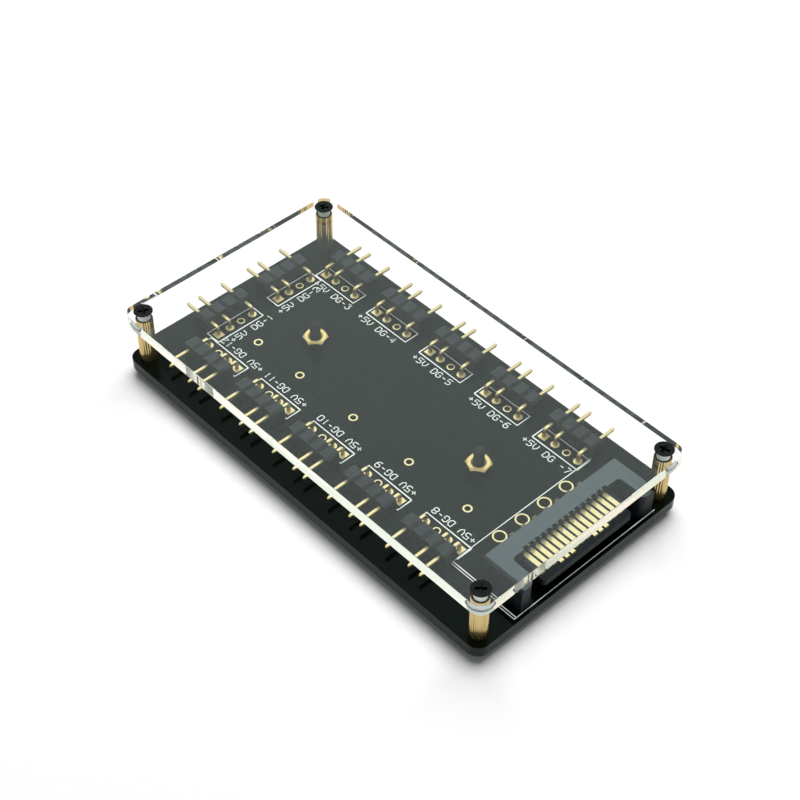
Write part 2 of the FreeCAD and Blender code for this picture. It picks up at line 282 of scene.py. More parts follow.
def colour_sides(material, colour, above=None, axis="Z"):
    """Give the upright faces of a material, and what isn't above a level, a colour of their own."""
    tree = material.node_tree
    shader = tree.nodes["Principled BSDF"]
    facing = tree.nodes.new("ShaderNodeNewGeometry")
    split = tree.nodes.new("ShaderNodeSeparateXYZ")
    tree.links.new(facing.outputs["True Normal"], split.inputs[0])
    share = reckon(tree, "POWER", reckon(tree, "ABSOLUTE", split.outputs["Z"]), FACE_SPLIT)
    if above is not None:
        place = tree.nodes.new("ShaderNodeTexCoord")
        parts = tree.nodes.new("ShaderNodeSeparateXYZ")
        tree.links.new(place.outputs["Object"], parts.inputs[0])
        raised = reckon(tree, "GREATER_THAN", parts.outputs[axis], above)
        share = reckon(tree, "MULTIPLY", share, raised)
    layer = tree.nodes.new("ShaderNodeMix")
    layer.data_type = "RGBA"
    layer.inputs["A"].default_value = (*colour, 1)
    tree.links.new(shader.inputs["Base Color"].links[0].from_socket, layer.inputs["B"])
    tree.links.new(share, layer.inputs["Factor"])
    tree.links.new(layer.outputs["Result"], shader.inputs["Base Color"])
    print(material.name, "sides", colour)


# %% Sides of the board, the plastics and the metals
PLUG_RIM = 0.3 * MM

plug_low, plug_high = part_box("power_plug_housing")
colour_sides(solder_mask, (0.022, 0.032, 0.025))
# Painted sheen on the header tops: their sides keep this darker colour.
colour_sides(header_plastic, (0.008, 0.009, 0.011))
# Painted reflection of the black board on the flats of the nuts.
colour_sides(nut_brass, (0.04, 0.034, 0.014))
# Painted reflection of the black board on the upright legs of the pins and the sides of the pads.
colour_sides(gold, (0.36, 0.25, 0.09))
# Painted reflection on the contacts' upright faces; their tails behind the plug are darker all over.
colour_sides(contact_gold, (0.16, 0.13, 0.065), above=plug_low.x, axis="X")
# Painted sheen only on the plug's faces higher than the tongue; the rest keeps this dark colour.
colour_sides(plug_plastic, (0.012, 0.015, 0.018), above=plug_high.z - PLUG_RIM)

# %% [markdown]
# Clear acrylic
# Acrylic bends light a little less than window glass. With real thickness and a real index of refraction
# the plate gets its look by itself: a grey veil of mirrored room on its face, bright near edges where
# light is piped across the plate, and dark far edges that mirror the board and the pins under it. A faint
# tint inside it warms only the light that has gone a long way, so the edges turn cream and the face stays
# clear. The plate would cast a dark shadow, so rays that go to a lamp pass straight through. A
# half-transparent shader is simpler, but it bends no light and so pipes none to the edges.

# %% Clear acrylic
ACRYLIC_INDEX = 1.49
ACRYLIC_COLOUR = (0.985, 0.995, 0.99, 1)
ACRYLIC_TINT = (1.0, 0.82, 0.46, 1)
TINT_DENSITY = 5.0

acrylic = bpy.data.materials.new("clear_acrylic")
acrylic.use_nodes = True
acrylic_nodes = acrylic.node_tree.nodes
join = acrylic.node_tree.links.new
output = acrylic_nodes["Material Output"]
clear = acrylic_nodes["Principled BSDF"]
clear.inputs["Base Color"].default_value = ACRYLIC_COLOUR
clear.inputs["Roughness"].default_value = 0.0
clear.inputs["IOR"].default_value = ACRYLIC_INDEX
clear.inputs["Transmission Weight"].default_value = 1.0
lamp_ray = acrylic_nodes.new("ShaderNodeLightPath")
passing = acrylic_nodes.new("ShaderNodeBsdfTransparent")
either = acrylic_nodes.new("ShaderNodeMixShader")
join(lamp_ray.outputs["Is Shadow Ray"], either.inputs["Fac"])
join(clear.outputs["BSDF"], either.inputs[1])
join(passing.outputs["BSDF"], either.inputs[2])
join(either.outputs["Shader"], output.inputs["Surface"])
tint = acrylic_nodes.new("ShaderNodeVolumeAbsorption")
tint.inputs["Color"].default_value = ACRYLIC_TINT
tint.inputs["Density"].default_value = TINT_DENSITY
join(tint.outputs["Volume"], output.inputs["Volume"])
print("acrylic index", ACRYLIC_INDEX)

# %% [markdown]
# Dress the solids that stay
# The board, the standoffs, the header bodies and the power plug have their true shapes already, so they
# only get their finishes. They could be drawn again here in more detail, but a second copy could drift
# away from the model.

# %% Finishes on the solids
CORNERS = [end + "_" + side for end in ("rear", "front") for side in ("left", "right")]
HEADERS = 12
NUMBERS = range(1, HEADERS + 1)

dressed = {"circuit_board": solder_mask, "power_plug_housing": plug_plastic}
dressed["power_plug_contacts"] = contact_gold
dressed.update({"standoff_" + corner: brass for corner in CORNERS})
dressed.update({"header_body_%02d" % number: header_plastic for number in NUMBERS})
for node, material in dressed.items():
    nodes[node].data.materials.clear()
    nodes[node].data.materials.append(material)
print("dressed", len(dressed), "solids")

# %% [markdown]
# Where things are
# Everything below is placed from the solids' own boxes, by named offsets. Each header has a little frame:
# along its row, and out towards the tips of its pins. Headers 1 and 2 face the rear, 3 to 7 the left edge
# and 8 to 12 the right edge. The places could be typed in again, but then they would stay behind when the
# model changes.

# %% Places taken from the model
PIN_PITCH = 2.54 * MM
BODY_GAP = 1.8 * MM
PLACES = 4
EMPTY_PLACE = 2
REAR_LAST = 2
LEFT_LAST = 7

board_low, board_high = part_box("circuit_board")
BOARD_TOP = board_high.z
BOARD_BOTTOM = board_low.z


def header_frame(number):
    """Middle of the header's row of pads, its turn about Z, and its outward direction."""
    angle = math.radians(90 if number <= REAR_LAST else 0 if number <= LEFT_LAST else 180)
    outward = Vector((-math.sin(angle), math.cos(angle), 0))
    low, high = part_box("header_body_%02d" % number)
    depth = abs((high - low).dot(outward))
    middle = (low + high) / 2 - outward * (depth / 2 + BODY_GAP)
    return Vector((middle.x, middle.y, 0)), angle, outward


def on_header(number, along, out):
    """A point of the board given in a header's own frame."""
    middle, angle, outward = header_frame(number)
    row = Vector((math.cos(angle), math.sin(angle), 0))
    return middle + row * along + outward * out


def pad(number, place):
    """The middle of one pad of a header."""
    return on_header(number, (place - (PLACES - 1) / 2) * PIN_PITCH, 0)


pin_pads = [(pad(number, place), header_frame(number)[1])
            for number in NUMBERS for place in range(PLACES) if place != EMPTY_PLACE]
open_pads = [pad(number, EMPTY_PLACE) for number in NUMBERS]
print("pins", len(pin_pads), "empty places", len(open_pads))

# %% [markdown]
# One way to set out what repeats
# Pads, pins, solder and screws repeat, so Geometry Nodes set them out. A tree makes one piece from named
# sizes, or takes a finished one, and puts a copy on every point of a small mesh, turned by the point's
# own angle. The copies are made real and the result becomes a plain mesh, because an exported model can't
# hold node trees. A loop could place linked copies instead, but each copy would then be a piece of its
# own.

# %% Helpers for node trees
def new_tree(name, sizes):
    """A node tree with a float input for each size, a material input, and its two end nodes."""
    tree = bpy.data.node_groups.new(name, "GeometryNodeTree")
    tree.interface.new_socket("Geometry", in_out="INPUT", socket_type="NodeSocketGeometry")
    for size in sizes:
        tree.interface.new_socket(size, in_out="INPUT", socket_type="NodeSocketFloat")
    tree.interface.new_socket("Material", in_out="INPUT", socket_type="NodeSocketMaterial")
    tree.interface.new_socket("Geometry", in_out="OUTPUT", socket_type="NodeSocketGeometry")
    return tree, tree.nodes.new("NodeGroupInput").outputs, tree.nodes.new("NodeGroupOutput").inputs


def add(tree, kind, values, **settings):
    """A node with its inputs set or linked."""
    made = tree.nodes.new(kind)
    for label, value in settings.items():
        setattr(made, label, value)
    for label, value in values.items():
        if isinstance(value, bpy.types.NodeSocket):
            tree.links.new(value, made.inputs[label])
        else:
            made.inputs[label].default_value = value
    return made.outputs[0]


def flat(tree, geometry):
    """Flat shading, for what is swept with sharp corners."""
    return add(tree, "GeometryNodeSetShadeSmooth", {"Geometry": geometry, "Shade Smooth": False})


# %% Copies on points
def set_out(tree, entry, leave, piece):
    """Copies of a piece on the points, turned by each point's angle, made real and given the material."""
    attribute = add(tree, "GeometryNodeInputNamedAttribute", {"Name": "turn"}, data_type="FLOAT")
    spin = add(tree, "ShaderNodeCombineXYZ", {"Z": attribute})
    rotation = add(tree, "FunctionNodeEulerToRotation", {"Euler": spin})
    copies = add(tree, "GeometryNodeInstanceOnPoints",
                 {"Points": entry["Geometry"], "Instance": piece, "Rotation": rotation})
    real = add(tree, "GeometryNodeRealizeInstances", {"Geometry": copies})
    painted = add(tree, "GeometryNodeSetMaterial", {"Geometry": real, "Material": entry["Material"]})
    tree.links.new(painted, leave["Geometry"])


def point_mesh(places, turns=None):
    """Loose points with a turn angle each."""
    mesh = bpy.data.meshes.new("points")
    mesh.from_pydata(places, [], [])
    angles = mesh.attributes.new("turn", "FLOAT", "POINT")
    angles.data.foreach_set("value", turns or [0.0] * len(places))
    return mesh


# %% Plain pieces
def new_piece(name, mesh):
    """An object for a finished mesh."""
    mesh.name = name
    piece = bpy.data.objects.new(name, mesh)
    scene.collection.objects.link(piece)
    return piece


def run_tree(name, mesh, tree, sizes, material):
    """Run a tree on a mesh and keep the result as a plain piece."""
    carrier = bpy.data.objects.new(name + "_carrier", mesh)
    scene.collection.objects.link(carrier)
    modifier = carrier.modifiers.new("tree", "NODES")
    modifier.node_group = tree
    for item in tree.interface.items_tree:
        if item.in_out == "INPUT" and item.name in sizes:
            modifier[item.identifier] = sizes[item.name]
        elif item.in_out == "INPUT" and item.name == "Material":
            modifier[item.identifier] = material
    evaluated = carrier.evaluated_get(bpy.context.evaluated_depsgraph_get())
    result = bpy.data.meshes.new_from_object(evaluated)
    carrier.modifiers.remove(modifier)
    bpy.data.objects.remove(carrier)
    return new_piece(name, result)


def keep(piece, slot, *replaced):
    """Tie a piece to the part and hide the solids that it takes the place of."""
    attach(piece, "root")
    if replaced:
        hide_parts(*replaced)
    print(piece.name, len(piece.data.polygons), "faces")


# %% [markdown]
# Plated pads and holes
# On such a board every hole that carries current has a gold-plated ring on both faces and a plated barrel
# through it. A ring is a circle with a flat rectangle swept round it, so one tree makes pads and barrels
# of any size. Barrels are made only in the open holes, because pins and solder hide the others. The pad
# of each header's first pin is square, to mark it: the same tree makes it from a circle of four points.
# The rings could be painted on the board instead, but thin geometry stays sharp from near by and is
# part of the mesh itself.

# %% Tree for rings
ring_tree, entry, leave = new_tree("plated_ring", ("Outer", "Inner", "Height", "Corners", "Spin"))
width = reckon(ring_tree, "SUBTRACT", entry["Outer"], entry["Inner"])
both = reckon(ring_tree, "ADD", entry["Outer"], entry["Inner"])
middle = reckon(ring_tree, "MULTIPLY", both, 0.5)
circle = add(ring_tree, "GeometryNodeCurvePrimitiveCircle",
             {"Resolution": entry["Corners"], "Radius": middle})
section = add(ring_tree, "GeometryNodeCurvePrimitiveQuadrilateral",
              {"Width": width, "Height": entry["Height"]})
swept = add(ring_tree, "GeometryNodeCurveToMesh", {"Curve": circle, "Profile Curve": section})
spin = add(ring_tree, "ShaderNodeCombineXYZ", {"Z": entry["Spin"]})
turned = add(ring_tree, "GeometryNodeTransform", {"Geometry": swept, "Rotation": spin})
set_out(ring_tree, entry, leave, flat(ring_tree, turned))
print("ring tree of", len(ring_tree.nodes), "nodes")

# %% Places of the open holes
LEFT_HEADER = 5
RIGHT_HEADER = 10
VIA_ROW = -6.75 * MM
VIA_SHIFT = -1.2 * MM
FIRST_VIA_SHIFT = 1.35 * MM
SPARES = 4
SPARE_PITCH = 5.08 * MM
SPARE_INSET = 13.1 * MM
SPARE_SHIFT = 0.55 * MM

rows_middle = (pad(LEFT_HEADER, 0).y + pad(RIGHT_HEADER, 0).y) / 2
left_row = [header_frame(number)[0].x for number in range(REAR_LAST + 1, LEFT_LAST + 1)]
vias = [Vector((x + (FIRST_VIA_SHIFT if index == 0 else VIA_SHIFT), rows_middle + VIA_ROW, 0))
        for index, x in enumerate(left_row)]
spare_x = board_high.x - SPARE_INSET
spare_y = rows_middle + SPARE_SHIFT
spares = [Vector((spare_x, spare_y + (index - (SPARES - 1) / 2) * SPARE_PITCH, 0)) for index in range(SPARES)]
print("vias", len(vias), "spare holes", len(spares))

# %% Pads and barrels
PLATING = 0.04 * MM
ROUND = 32
SQUARE = 4
SQUARE_SPIN = math.pi / 4
ROUND_PAD = (0.78 * MM, 0.26 * MM)
FIRST_PAD = (1.12 * MM, 0.37 * MM)
OPEN_PAD = (0.74 * MM, 0.50 * MM)
VIA_PAD = (0.82 * MM, 0.53 * MM)
SPARE_PAD = (1.22 * MM, 0.94 * MM)
SMALL_BARREL = (0.50 * MM, 0.46 * MM)
SPARE_BARREL = (0.85 * MM, 0.80 * MM)


def rings(name, places, radii, low, high, corners=ROUND, spin=0.0, material=gold):
    """Plated rings of two radii at a list of places, between two heights."""
    lifted = [(place.x, place.y, (low + high) / 2) for place in places]
    outer, inner = radii
    sizes = {"Outer": outer, "Inner": inner, "Height": high - low, "Corners": corners, "Spin": spin}
    keep(run_tree(name, point_mesh(lifted), ring_tree, sizes, material), "gold_plating")


first_pads = [pad(number, 0) for number in NUMBERS]
round_pads = [pad(number, place) for number in NUMBERS
              for place in range(1, PLACES) if place != EMPTY_PLACE]
faces = {"top": (BOARD_TOP, BOARD_TOP + PLATING), "under": (BOARD_BOTTOM - PLATING, BOARD_BOTTOM)}
for face, (low, high) in faces.items():
    rings("pads_round_" + face, round_pads, ROUND_PAD, low, high)
    rings("pads_first_" + face, first_pads, FIRST_PAD, low, high, SQUARE, SQUARE_SPIN)
    rings("pads_open_" + face, open_pads, OPEN_PAD, low, high)
    rings("pads_via_" + face, vias, VIA_PAD, low, high)
    rings("pads_spare_" + face, spares, SPARE_PAD, low, high)
rings("barrels_small", open_pads + vias, SMALL_BARREL, BOARD_BOTTOM, BOARD_TOP, material=barrel)
rings("barrels_spare", spares, SPARE_BARREL, BOARD_BOTTOM, BOARD_TOP, material=barrel)

# %% [markdown]
# Header pins
# A header pin is square gold-plated wire, bent once. A polyline of four points is its path: the foot, the
# bend, the start of the taper and the tip. The bend gets a small fillet, and a square swept along the
# path is the wire. Its last point is scaled down, which tapers the tip that goes into a plug. Boxes could
# be joined at the corner instead, but a sweep follows the round bend by itself.

# %% Sizes of a pin
PIN_SIDE = 0.5 * MM
PIN_BEND = 0.4 * MM
PIN_TAPER = 0.35 * MM
PIN_POINT = 0.5

pin_low, pin_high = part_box("header_pins_%02d" % LEFT_HEADER)
PIN_REACH = pin_high.y - pad(LEFT_HEADER, 0).y
PIN_AXIS = pin_high.z - PIN_SIDE / 2
PIN_FOOT = pin_low.z - PIN_AXIS
print("pins reach %.2f mm out and %.2f mm down" % (PIN_REACH / MM, -PIN_FOOT / MM))

# %% Tree for bent pins
PATH_POINTS = 4
BEND_STEPS = 6
NEAR_INDEX = 0.1

pin_tree, entry, leave = new_tree("bent_pin", ("Side", "Bend", "Reach", "Foot", "Taper", "Point"))
path_index = add(pin_tree, "GeometryNodeInputIndex", {})
at_foot, at_taper, at_tip = [reckon(pin_tree, "COMPARE", path_index, float(number), NEAR_INDEX)
                             for number in (0, 2, 3)]
straight = reckon(pin_tree, "SUBTRACT", entry["Reach"], entry["Taper"])
to_taper = reckon(pin_tree, "MULTIPLY", at_taper, straight)
out = reckon(pin_tree, "MULTIPLY_ADD", at_tip, entry["Reach"], to_taper)
drop = reckon(pin_tree, "MULTIPLY", at_foot, entry["Foot"])
path_place = add(pin_tree, "ShaderNodeCombineXYZ", {"Y": out, "Z": drop})
path_start = add(pin_tree, "GeometryNodeMeshLine", {"Count": PATH_POINTS}, mode="OFFSET")
path_mesh = add(pin_tree, "GeometryNodeSetPosition", {"Geometry": path_start, "Position": path_place})
path = add(pin_tree, "GeometryNodeMeshToCurve", {"Mesh": path_mesh})
thin = reckon(pin_tree, "SUBTRACT", entry["Point"], 1.0)
taper = reckon(pin_tree, "MULTIPLY_ADD", at_tip, thin, 1.0)
marked = add(pin_tree, "GeometryNodeSetCurveRadius", {"Curve": path, "Radius": taper})
bent = add(pin_tree, "GeometryNodeFilletCurve",
           {"Curve": marked, "Count": BEND_STEPS, "Radius": entry["Bend"], "Limit Radius": True}, mode="POLY")
square = add(pin_tree, "GeometryNodeCurvePrimitiveQuadrilateral",
             {"Width": entry["Side"], "Height": entry["Side"]})
radius = add(pin_tree, "GeometryNodeInputRadius", {})
wire = add(pin_tree, "GeometryNodeCurveToMesh",
           {"Curve": bent, "Profile Curve": square, "Scale": radius, "Fill Caps": True})
set_out(pin_tree, entry, leave, flat(pin_tree, wire))
print("pin tree of", len(pin_tree.nodes), "nodes")

# %% Pins
lifted = [(place.x, place.y, PIN_AXIS) for place, angle in pin_pads]
pin_turns = [angle for place, angle in pin_pads]
pin_sizes = {"Side": PIN_SIDE, "Bend": PIN_BEND, "Reach": PIN_REACH, "Foot": PIN_FOOT,
             "Taper": PIN_TAPER, "Point": PIN_POINT}
pins = run_tree("header_pins", point_mesh(lifted, pin_turns), pin_tree, pin_sizes, gold)
keep(pins, "gold_plating", *["header_pins_%02d" % number for number in NUMBERS])

# %% [markdown]
# Solder
# The pins and the plug's tails are soldered from below. The solder climbs each tail in a small cone,
# which the node tree makes from a cone of named radii. The tails of the plug stand in two rows, by turns,
# and their solder hides the pads below, so only the pads above are made. A ball on each tail is another
# way, but solder that has wetted a pin is hollow-sided, nearer to a cone.

# %% Tree for solder cones
CONE_STEPS = 20

solder_tree, entry, leave = new_tree("solder_cone", ("Wide", "Narrow", "Depth"))
cone_sizes = {"Radius Top": entry["Wide"], "Radius Bottom": entry["Narrow"], "Depth": entry["Depth"]}
cone = add(solder_tree, "GeometryNodeMeshCone", {"Vertices": CONE_STEPS, **cone_sizes})
set_out(solder_tree, entry, leave, cone)
print("solder tree of", len(solder_tree.nodes), "nodes")

# %% Solder on pins and tails
SOLDER_DEPTH = 0.75 * MM
SOLDER_TIP = 0.36 * MM
PIN_SOLDER = 0.78 * MM
TAIL_SOLDER = 0.58 * MM
TAIL_PAD = (0.55 * MM, 0.2 * MM)
CONTACTS = 15
CONTACT_PITCH = 1.27 * MM
TAIL_ROW_STEP = 0.6 * MM
TAIL_HALF = 0.15 * MM

contact_low, contact_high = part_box("power_plug_contacts")
plug_middle = (contact_low.y + contact_high.y) / 2
tails = [Vector((contact_low.x + TAIL_HALF + TAIL_ROW_STEP * (1 - index % 2),
                 plug_middle + (index - (CONTACTS - 1) / 2) * CONTACT_PITCH, 0)) for index in range(CONTACTS)]


def solder(name, places, wide):
    """Solder cones under the board at a list of places."""
    lowered = [(place.x, place.y, BOARD_BOTTOM - SOLDER_DEPTH) for place in places]
    sizes = {"Wide": wide, "Narrow": SOLDER_TIP, "Depth": SOLDER_DEPTH}
    keep(run_tree(name, point_mesh(lowered), solder_tree, sizes, tin), "solder")


solder("solder_pins", [place for place, angle in pin_pads], PIN_SOLDER)
solder("solder_tails", tails, TAIL_SOLDER)
rings("pads_tails_top", tails, TAIL_PAD, BOARD_TOP, BOARD_TOP + PLATING)

# %% [markdown]
# Printing on the board
# White ink outlines each header and the power plug, and names the pins: +5V, data and ground, with the
# number of the output. Boards are often printed with single-stroke letters, so each letter here is a few
# straight strokes on a grid four wide and six high, and one node tree sweeps a thin flat band along all
# of them. A text object would work too, but its letters are filled outlines and not single strokes.

# %% Tree for printed lines
line_tree, entry, leave = new_tree("printed_line", ("Width", "Thickness"))
strokes = add(line_tree, "GeometryNodeMeshToCurve", {"Mesh": entry["Geometry"]})
band = add(line_tree, "GeometryNodeCurvePrimitiveQuadrilateral",
           {"Width": entry["Width"], "Height": entry["Thickness"]})
printed = add(line_tree, "GeometryNodeCurveToMesh",
              {"Curve": strokes, "Profile Curve": band, "Fill Caps": True})
real = add(line_tree, "GeometryNodeRealizeInstances", {"Geometry": flat(line_tree, printed)})
inked = add(line_tree, "GeometryNodeSetMaterial", {"Geometry": real, "Material": entry["Material"]})
line_tree.links.new(inked, leave["Geometry"])
print("line tree of", len(line_tree.nodes), "nodes")

# %% Stroke letters
GLYPHS = {
    " ": [],
    "+": [[(0, 3), (4, 3)], [(2, 1), (2, 5)]],
    "-": [[(0.5, 3), (3.5, 3)]],
    "0": [[(1, 0), (3, 0), (4, 1), (4, 5), (3, 6), (1, 6), (0, 5), (0, 1), (1, 0)]],
    "1": [[(1, 5), (2, 6), (2, 0)]],
    "2": [[(0, 5), (1, 6), (3, 6), (4, 5), (4, 4), (0, 0), (4, 0)]],
    "3": [[(0, 6), (4, 6), (2, 3.6), (3, 3.6), (4, 2.6), (4, 1), (3, 0), (1, 0), (0, 1)]],
    "4": [[(3, 0), (3, 6), (0, 2), (4, 2)]],
    "5": [[(4, 6), (0, 6), (0, 3.4), (3, 3.4), (4, 2.4), (4, 1), (3, 0), (0, 0)]],
    "6": [[(4, 6), (1.5, 6), (0, 4), (0, 1), (1, 0), (3, 0), (4, 1), (4, 2.4), (3, 3.4), (0, 3.4)]],
    "7": [[(0, 6), (4, 6), (1.5, 0)]],
    "8": [[(1, 3.2), (0, 4.2), (0, 5), (1, 6), (3, 6), (4, 5), (4, 4.2), (3, 3.2), (1, 3.2), (0, 2.2), (0, 1),
           (1, 0), (3, 0), (4, 1), (4, 2.2), (3, 3.2)]],
    "9": [[(0, 0), (2.5, 0), (4, 2), (4, 5), (3, 6), (1, 6), (0, 5), (0, 3.6), (1, 2.6), (4, 2.6)]],
    "D": [[(0, 0), (0, 6), (2.5, 6), (4, 4.5), (4, 1.5), (2.5, 0), (0, 0)]],
    "G": [[(4, 5), (3, 6), (1, 6), (0, 5), (0, 1), (1, 0), (3, 0), (4, 1), (4, 3), (2.4, 3)]],
    "V": [[(0, 6), (0, 2.4), (2, 0), (4, 2.4), (4, 6)]],
}
GRID_WIDE = 4
GRID_HIGH = 6


def letter_strokes(words, height, advance):
    """Strokes of a line of words about its own middle."""
    unit = height / GRID_HIGH
    start = -(advance * (len(words) - 1) + GRID_WIDE * unit) / 2
    return [[(start + place * advance + x * unit, (y - GRID_HIGH / 2) * unit) for x, y in stroke]
            for place, letter in enumerate(words) for stroke in GLYPHS[letter]]


print("letters drawn:", len(GLYPHS))

# %% Labels of the pins
INK_THICKNESS = 0.02 * MM
LETTER_LINE = 0.17 * MM
LETTER_HEIGHT = 1.25 * MM
LETTER_ADVANCE = 1.19 * MM
LABEL_OUT = -2.78 * MM
SPACED_NUMBER = 7
LABEL_SHIFTS = {1: 1.45 * MM, 2: -1.40 * MM, 3: 0.98 * MM, 4: -0.95 * MM, 5: -0.50 * MM, 6: -0.35 * MM,
                7: -0.70 * MM, 8: 0.20 * MM, 11: 0.20 * MM, 12: -1.88 * MM}


def print_lines(name, strokes, width):
    """Print a set of strokes on the board's top."""
    height = BOARD_TOP + INK_THICKNESS / 2
    points = []
    edges = []
    for stroke in strokes:
        edges += [(len(points) + step, len(points) + step + 1) for step in range(len(stroke) - 1)]
        points += [(x, y, height) for x, y in stroke]
    mesh = bpy.data.meshes.new("strokes")
    mesh.from_pydata(points, edges, [])
    sizes = {"Width": width, "Thickness": INK_THICKNESS}
    keep(run_tree(name, mesh, line_tree, sizes, ink), "print_white")


labels = []
for number in NUMBERS:
    gap = " " if number == SPACED_NUMBER else ""
    words = "+5V DG%s-%d" % (gap, number)
    shift = LABEL_SHIFTS.get(number, 0.0)
    for stroke in letter_strokes(words, LETTER_HEIGHT, LETTER_ADVANCE):
        labels.append([on_header(number, along + shift, LABEL_OUT + out).xy for along, out in stroke])
print_lines("printed_labels", labels, LETTER_LINE)

# %% Outlines of the headers
LINE_WIDTH = 0.24 * MM
OUTLINE_HALF = 5.05 * MM
OUTLINE_INNER = -1.5 * MM
OUTLINE_OUTER = 1.55 * MM

header_outline = [(-OUTLINE_HALF, OUTLINE_INNER), (OUTLINE_HALF, OUTLINE_INNER),
                  (OUTLINE_HALF, OUTLINE_OUTER), (-OUTLINE_HALF, OUTLINE_OUTER),
                  (-OUTLINE_HALF, OUTLINE_INNER)]
outlines = [[on_header(number, along, out).xy for along, out in header_outline] for number in NUMBERS]
print_lines("printed_outlines", outlines, LINE_WIDTH)

# %% Outline of the power plug
PLUG_LINE_BACK = 14.5 * MM
PLUG_LINE_FRONT = 0.75 * MM
PLUG_LINE_LEFT = 0.45 * MM
PLUG_LINE_RIGHT = 1.6 * MM
DOUBLE_LINE = 0.45 * MM
PLUG_LINE_WIDTH = 0.18 * MM

back_line = board_high.x - PLUG_LINE_BACK
front_line = board_high.x - PLUG_LINE_FRONT
left_line = plug_high.y + PLUG_LINE_LEFT
right_line = plug_low.y - PLUG_LINE_RIGHT
three_sides = [(back_line, left_line), (back_line, right_line), (front_line, right_line),
               (front_line, left_line)]
second_line = [(back_line, right_line + DOUBLE_LINE), (front_line, right_line + DOUBLE_LINE)]
print_lines("printed_plug_outline", [three_sides, second_line], PLUG_LINE_WIDTH)

# %% [markdown]
# Turned pieces
# Screws are round about one axis, as if turned on a lathe, and a lathe is easy to copy: a profile of
# radius and height is spun round the Z axis. The cross recess of a head is cut with a Boolean by two
# crossed tapered blades. A thread is the same spin with the radius rising and falling along a helix. All
# of them are skins over rings of points, so one helper closes such a skin. The Screw modifier could spin
# a profile too, but the blades and the cover's plate would then need a helper of their own.

# %% Skins and turned shapes
def skin(name, rows):
    """A closed mesh over rings of points that follow each other upwards, with flat ends."""
    shape = bmesh.new()
    made = [[shape.verts.new(point) for point in row] for row in rows]
    for low, high in zip(made, made[1:]):
        for step in range(len(low)):
            after = (step + 1) % len(low)
            shape.faces.new((low[step], low[after], high[after], high[step]))
    shape.faces.new(made[0][::-1])
    shape.faces.new(made[-1])
    mesh = bpy.data.meshes.new(name)
    shape.to_mesh(mesh)
    shape.free()
    return mesh


def lathe(profile, steps):
    """A closed mesh from (radius, height) points going up."""
    angles = [2 * math.pi * step / steps for step in range(steps)]
    return skin("turned", [[(radius * math.cos(angle), radius * math.sin(angle), height) for angle in angles]
                           for radius, height in profile])


# %% Carving and smoothing
def carve(mesh, cutter, operation="DIFFERENCE"):
    """A new mesh with the cutter taken out of it, or kept common with it."""
    blank = new_piece("blank", mesh)
    tool = new_piece("tool", cutter)
    modifier = blank.modifiers.new("carve", "BOOLEAN")
    modifier.operation = operation
    modifier.solver = "EXACT"
    modifier.object = tool
    evaluated = blank.evaluated_get(bpy.context.evaluated_depsgraph_get())
    result = bpy.data.meshes.new_from_object(evaluated)
    bpy.data.objects.remove(blank)
    bpy.data.objects.remove(tool)
    return result


def smooth(mesh, angle):
    """Smooth shading with sharp edges kept above an angle in degrees."""
    for face in mesh.polygons:
        face.use_smooth = True
    mesh.set_sharp_from_angle(angle=math.radians(angle))


# %% Tree that sets out a finished piece
piece_tree = bpy.data.node_groups.new("set_out_piece", "GeometryNodeTree")
piece_tree.interface.new_socket("Geometry", in_out="INPUT", socket_type="NodeSocketGeometry")
piece_tree.interface.new_socket("Piece", in_out="INPUT", socket_type="NodeSocketObject")
piece_tree.interface.new_socket("Material", in_out="INPUT", socket_type="NodeSocketMaterial")
piece_tree.interface.new_socket("Geometry", in_out="OUTPUT", socket_type="NodeSocketGeometry")
entry = piece_tree.nodes.new("NodeGroupInput").outputs
leave = piece_tree.nodes.new("NodeGroupOutput").inputs
holder = piece_tree.nodes.new("GeometryNodeObjectInfo")
piece_tree.links.new(entry["Piece"], holder.inputs["Object"])
set_out(piece_tree, entry, leave, holder.outputs["Geometry"])
print("piece tree of", len(piece_tree.nodes), "nodes")


def copies_of(name, mesh, places, turns, material):
    """Copies of one finished mesh at places, as one plain piece."""
    pattern = new_piece(name + "_pattern", mesh)
    made = run_tree(name, point_mesh(places, turns), piece_tree, {"Piece": pattern}, material)
    bpy.data.objects.remove(pattern)
    return made


# %% [markdown]
# Cover screws and foot screws
# Four black countersunk screws hold the cover, their heads a little proud of its face. Six pan-head
# screws come up from under the board, four into the standoffs and two through nuts in the middle, and the
# hub stands on their heads. A driver leaves each screw at its own angle, so the recesses point different
# ways. A recess could be painted on, but a cut one has real depth from every side.

# %% Cross recess
RECESS_DEPTH = 0.75 * MM
RECESS_WIDTH = 0.55 * MM
RECESS_LENGTH = 1.9 * MM
RECESS_NARROW = 0.45
BLADE_TAPER = 0.4
SCREW_CREASE = 35
CUT = 0.02 * MM


def blade(tip, root, direction):
    """A driver's blade between two heights, narrow at its tip and wide at its root."""
    turned_by = Matrix.Rotation(direction, 3, "Z")
    rows = []
    for height, share in ((tip, RECESS_NARROW), (root, 1.0)):
        x = RECESS_LENGTH / 2 * share
        y = RECESS_WIDTH / 2 * (1 - BLADE_TAPER + BLADE_TAPER * share)
        corners = ((-x, -y), (x, -y), (x, y), (-x, y))
        rows.append([turned_by @ Vector((*corner, height)) for corner in corners])
    return skin("blade", sorted(rows, key=lambda row: row[0].z))


def cross_recess(mesh, face, inward):
    """Cut a cross recess into a head, from the height of its face and up (1) or down (-1)."""
    for direction in (0.0, math.pi / 2):
        mesh = carve(mesh, blade(face + inward * RECESS_DEPTH, face - inward * CUT, direction))
    smooth(mesh, SCREW_CREASE)
    return mesh


# %% Cover screws
STEPS = 48
EDGE = 0.06 * MM
SHANK = 0.95 * MM
SCREW_TURNS = [0.5, 1.1, 0.2, 0.8]

